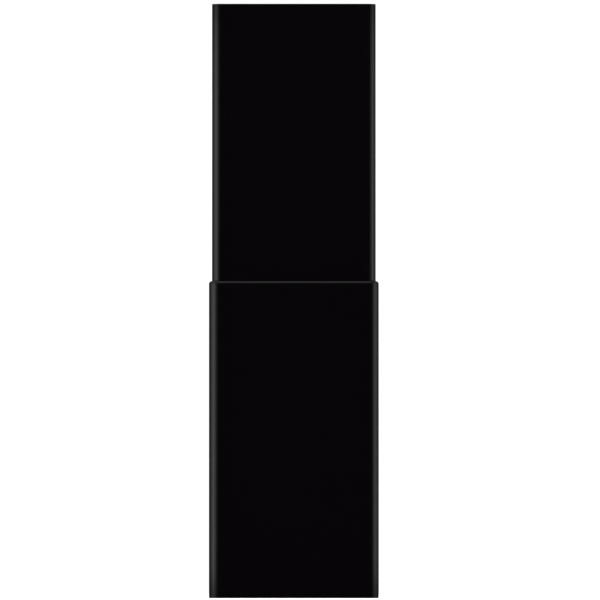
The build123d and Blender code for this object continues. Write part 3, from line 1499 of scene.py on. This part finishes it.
@dataclass
class Studio:
    """A pale floor, soft light from both sides and above, and a long lens from the front.

    The floor lies just under the case, so that the two don't meet in one plane, and
    is seen from above only. In gloss it is plain and darker next to the case, then
    lit from both sides, and it fades towards the cards. Seen at a low angle, it
    shows the cards' light only. Lengths are in metres.

    Attributes:
        distance: from the case's front to the camera.
        eye_height: height of the camera.
        frame_width: width of what the camera sees at the case's front.
        sideways: how far to the right the camera stands.
        aim_up: how far above the case's middle it is aimed.
        sensor: width of the camera's sensor, in millimetres.
        clip: nearest and furthest that it sees.
        paper: sRGB colour of the floor.
        paper_roughness: its roughness.
        floor_radius: its radius.
        floor_sides: how many sides it has.
        floor_gap: how far it lies under the case.
        floor_glow: its own light, to everything but gloss.
        floor_low: how bright it is in gloss at a low angle, as a share of the cards.
        low_angle: range of its facing over which it goes over to that.
        floor_plain: how bright it is in gloss next to the case.
        floor_fan: how bright it is further out, at each angle round the case.
        fan_begins: distances over which it goes over to that.
        contact_shade: shares of its brightness next to the case and away from it.
        contact_reach: distances over which it goes from one to the other.
        floor_fade: shares of its brightness near the case and near the cards.
        floor_fade_reach: distances over which it goes from one to the other.
        sky: how bright the sky is in gloss, from level, at 0, to overhead, at 1.
        sky_lean: its brightness on the left and on the right, as shares.
        sky_lean_reach: range across, from -1 to 1, over which it leans.
        soft_light: how bright the sky is to what isn't glossy.
        backdrop: how bright it is to the camera.
        lamp_aim: the point that the lamps are turned to.
    """

    distance: float = 1.5
    eye_height: float = 1.5 * MM
    frame_width: float = 74.12 * MM
    sideways: float = 0.76 * MM
    aim_up: float = 0.085 * MM
    sensor: float = 36.0
    clip: Range = (0.01, 10.0)
    paper: str = "F4F4F4"
    paper_roughness: float = 0.9
    floor_radius: float = 2.2
    floor_sides: int = 96
    floor_gap: float = 0.01 * MM
    floor_glow: float = 0.35
    floor_low: float = 0.38
    low_angle: Range = (0.86, 0.97)
    floor_plain: float = 0.34
    floor_fan: Stops = (
        (0.0, 0.10), (15.0, 0.14), (35.0, 0.32), (52.0, 0.75), (66.0, 1.10), (84.0, 1.10), (104.0, 0.85),
        (130.0, 0.62), (150.0, 0.50), (180.0, 0.42),
    )
    fan_begins: Range = (0.025, 0.085)
    contact_shade: Range = (0.35, 1.0)
    contact_reach: Range = (0.011, 0.035)
    floor_fade: Range = (1.0, 0.3)
    floor_fade_reach: Range = (0.11, 0.25)
    sky: Stops = (
        (0.0, 0.008), (0.10, 0.08), (0.30, 0.16), (0.60, 0.25), (0.90, 0.34), (0.97, 0.50),
        (0.985, 1.1), (1.0, 1.4),
    )
    sky_lean: Range = (1.15, 0.65)
    sky_lean_reach: Range = (-0.3, 0.3)
    soft_light: float = 0.8
    backdrop: float = 1.1
    lamp_aim: Triple = (0.0, 0.0, 0.04)

    def camera(self) -> None:
        """Sets the camera in front, near the floor, so that the case is seen square on."""
        low, high = CAD_BOX
        data = bpy.data.cameras.new("front_camera")
        data.sensor_width = self.sensor
        data.lens = self.sensor * self.distance / self.frame_width
        data.clip_start, data.clip_end = self.clip
        made = link_object("front_camera", data)
        made.location = (self.sideways, low.y - self.distance, self.eye_height)
        middle = (low.z + high.z) / 2.0
        aim = Vector((self.sideways, low.y, middle + self.aim_up)) - made.location
        made.rotation_euler = aim.to_track_quat("-Z", "Y").to_euler()
        bpy.context.scene.camera = made

    def low_floor(self, tree: bpy.types.NodeTree, where: Socket) -> Socket:
        """How bright the floor looks in the case's gloss at a low angle.

        Args:
            tree: the floor's nodes.
            where: object coordinates.

        Returns:
            The brightness, as a colour.
        """
        # Painted reflection: the cards' light painted onto the floor as its gloss brightness.
        across = add_node(tree, "ShaderNodeSeparateXYZ", {0: where}).outputs["X"]
        on_right = add_node(tree, "ShaderNodeMath", {0: across, 1: 0.0}, operation="GREATER_THAN")
        cards = add_node(tree, "ShaderNodeMix", {
            "Factor": on_right.outputs[0],
            COLOUR_A: fan_light(tree, where, LEFT_CARD.fan),
            COLOUR_B: fan_light(tree, where, RIGHT_CARD.fan),
        }, data_type="RGBA")
        low = add_node(tree, "ShaderNodeVectorMath", {
            0: cards.outputs[COLOUR_OUT], "Scale": self.floor_low,
        }, operation="SCALE")
        return low.outputs[0]

    def steep_floor(self, tree: bpy.types.NodeTree, where: Socket) -> Socket:
        """How bright the floor looks in the case's gloss at a steeper angle.

        Args:
            tree: the floor's nodes.
            where: object coordinates.

        Returns:
            The brightness, as a colour.
        """
        away = add_node(tree, "ShaderNodeVectorMath", {0: where}, operation="LENGTH").outputs["Value"]
        # Painted light and shade in the floor's gloss: painted pools of light from both sides, a painted
        # contact shadow next to the case, and a painted fade towards the cards.
        out, contact, fade = (
            add_node(tree, "ShaderNodeMapRange", {"Value": away, **limits(reach, result)}).outputs[0]
            for reach, result in (
                (self.fan_begins, WHOLE),
                (self.contact_reach, self.contact_shade),
                (self.floor_fade_reach, self.floor_fade),
            )
        )
        lit = add_node(tree, "ShaderNodeMix", {
            "Factor": out,
            COLOUR_A: grey(self.floor_plain),
            COLOUR_B: fan_light(tree, where, self.floor_fan),
        }, data_type="RGBA")
        shade = add_node(tree, "ShaderNodeMath", {0: contact, 1: fade}, operation="MULTIPLY")
        steep = add_node(tree, "ShaderNodeVectorMath", {
            0: lit.outputs[COLOUR_OUT], "Scale": shade.outputs[0],
        }, operation="SCALE")
        return steep.outputs[0]

    def floor_paper(self) -> bpy.types.Material:
        """Makes the floor's paper. What gloss shows of it is the light that the cards throw on it.

        Returns:
            The material.
        """
        made = bpy.data.materials.new("matt_white_paper")
        made.use_nodes = True
        tree = made.node_tree
        shader = tree.nodes["Principled BSDF"]
        plug(tree, shader, {
            "Base Color": linear(self.paper),
            "Roughness": self.paper_roughness,
            "Specular IOR Level": 0.0,
            "Emission Color": grey(1.0),
            "Emission Strength": self.floor_glow,
        })
        where = add_node(tree, "ShaderNodeTexCoord").outputs["Object"]
        facing = add_node(tree, "ShaderNodeLayerWeight").outputs["Facing"]
        lowness = add_node(tree, "ShaderNodeMapRange", {"Value": facing, **limits(self.low_angle, WHOLE)})
        in_gloss = add_node(tree, "ShaderNodeMix", {
            "Factor": lowness.outputs[0],
            COLOUR_A: self.steep_floor(tree, where),
            COLOUR_B: self.low_floor(tree, where),
        }, data_type="RGBA")
        # The floor's gloss is emission: painted light and painted shade, which the cards don't really
        # throw on it.
        mirrored = add_node(tree, "ShaderNodeEmission", {"Color": in_gloss.outputs[COLOUR_OUT]})
        rays = add_node(tree, "ShaderNodeLightPath")
        both = add_node(tree, "ShaderNodeMixShader", {
            0: rays.outputs["Is Glossy Ray"], 1: shader.outputs[0], 2: mirrored.outputs[0],
        })
        under = add_node(tree, "ShaderNodeNewGeometry").outputs["Backfacing"]
        clear = add_node(tree, "ShaderNodeBsdfTransparent").outputs[0]
        one_sided = add_node(tree, "ShaderNodeMixShader", {0: under, 1: both.outputs[0], 2: clear})
        plug(tree, tree.nodes["Material Output"], {"Surface": one_sided.outputs[0]})
        made.cycles.emission_sampling = "NONE"
        return made

    def floor(self) -> None:
        """Lays the pale floor."""
        mesh = bpy.data.meshes.new("floor")
        work = bmesh.new()
        bmesh.ops.create_circle(work, cap_ends=True, segments=self.floor_sides, radius=self.floor_radius)
        bmesh.ops.translate(work, verts=work.verts, vec=(0.0, 0.0, -self.floor_gap))
        work.to_mesh(mesh)
        work.free()
        mesh.materials.append(self.floor_paper())
        made = link_object("floor", mesh)

    def lights(self) -> None:
        """Hangs the cards that show in the gloss on both sides, and the lamps."""
        for card in (LEFT_CARD, RIGHT_CARD):
            card.hang()
        for lamp in LAMPS:
            lamp.hang(self.lamp_aim)

    def world(self) -> None:
        """Sets the surroundings: white behind, even for matt surfaces, dim with a bright top for gloss."""
        world = bpy.data.worlds.new("studio")
        bpy.context.scene.world = world
        world.use_nodes = True
        tree = world.node_tree
        tree.nodes.clear()
        direction = add_node(tree, "ShaderNodeTexCoord").outputs["Generated"]
        parts = add_node(tree, "ShaderNodeSeparateXYZ", {0: direction})
        sky = add_node(tree, "ShaderNodeValToRGB", {"Fac": parts.outputs["Z"]})
        set_ramp(sky.color_ramp, self.sky)
        leaning = add_node(tree, "ShaderNodeMapRange", {
            "Value": parts.outputs["X"], **limits(self.sky_lean_reach, self.sky_lean),
        })
        leant = add_node(tree, "ShaderNodeVectorMath", {
            0: sky.outputs["Color"], "Scale": leaning.outputs[0],
        }, operation="SCALE")
        rays = add_node(tree, "ShaderNodeLightPath")
        soft = add_node(tree, "ShaderNodeMix", {
            "Factor": rays.outputs["Is Glossy Ray"],
            COLOUR_A: grey(self.soft_light),
            COLOUR_B: leant.outputs[0],
        }, data_type="RGBA")
        shown = add_node(tree, "ShaderNodeMix", {
            "Factor": rays.outputs["Is Camera Ray"],
            COLOUR_A: soft.outputs[COLOUR_OUT],
            COLOUR_B: grey(self.backdrop),
        }, data_type="RGBA")
        light = add_node(tree, "ShaderNodeBackground", {"Color": shown.outputs[COLOUR_OUT]})
        add_node(tree, "ShaderNodeOutputWorld", {"Surface": light.outputs[0]})

    def build(self) -> None:
        """Sets up the studio."""
        bpy.context.scene.view_settings.view_transform = "Standard"
        self.camera()
        self.floor()
        self.lights()
        self.world()


def main() -> None:
    """Builds the studio and the case's four bodies in order."""
    logging.basicConfig(level=logging.INFO, format="%(name)s: %(message)s")
    Studio().build()
    for assembly in (BaseAssembly(), CollarAssembly(), CupAssembly(), CapAssembly()):
        assembly.build()
        log.info("%s is done", type(assembly).__name__)


if __name__ == "__main__":
    main()
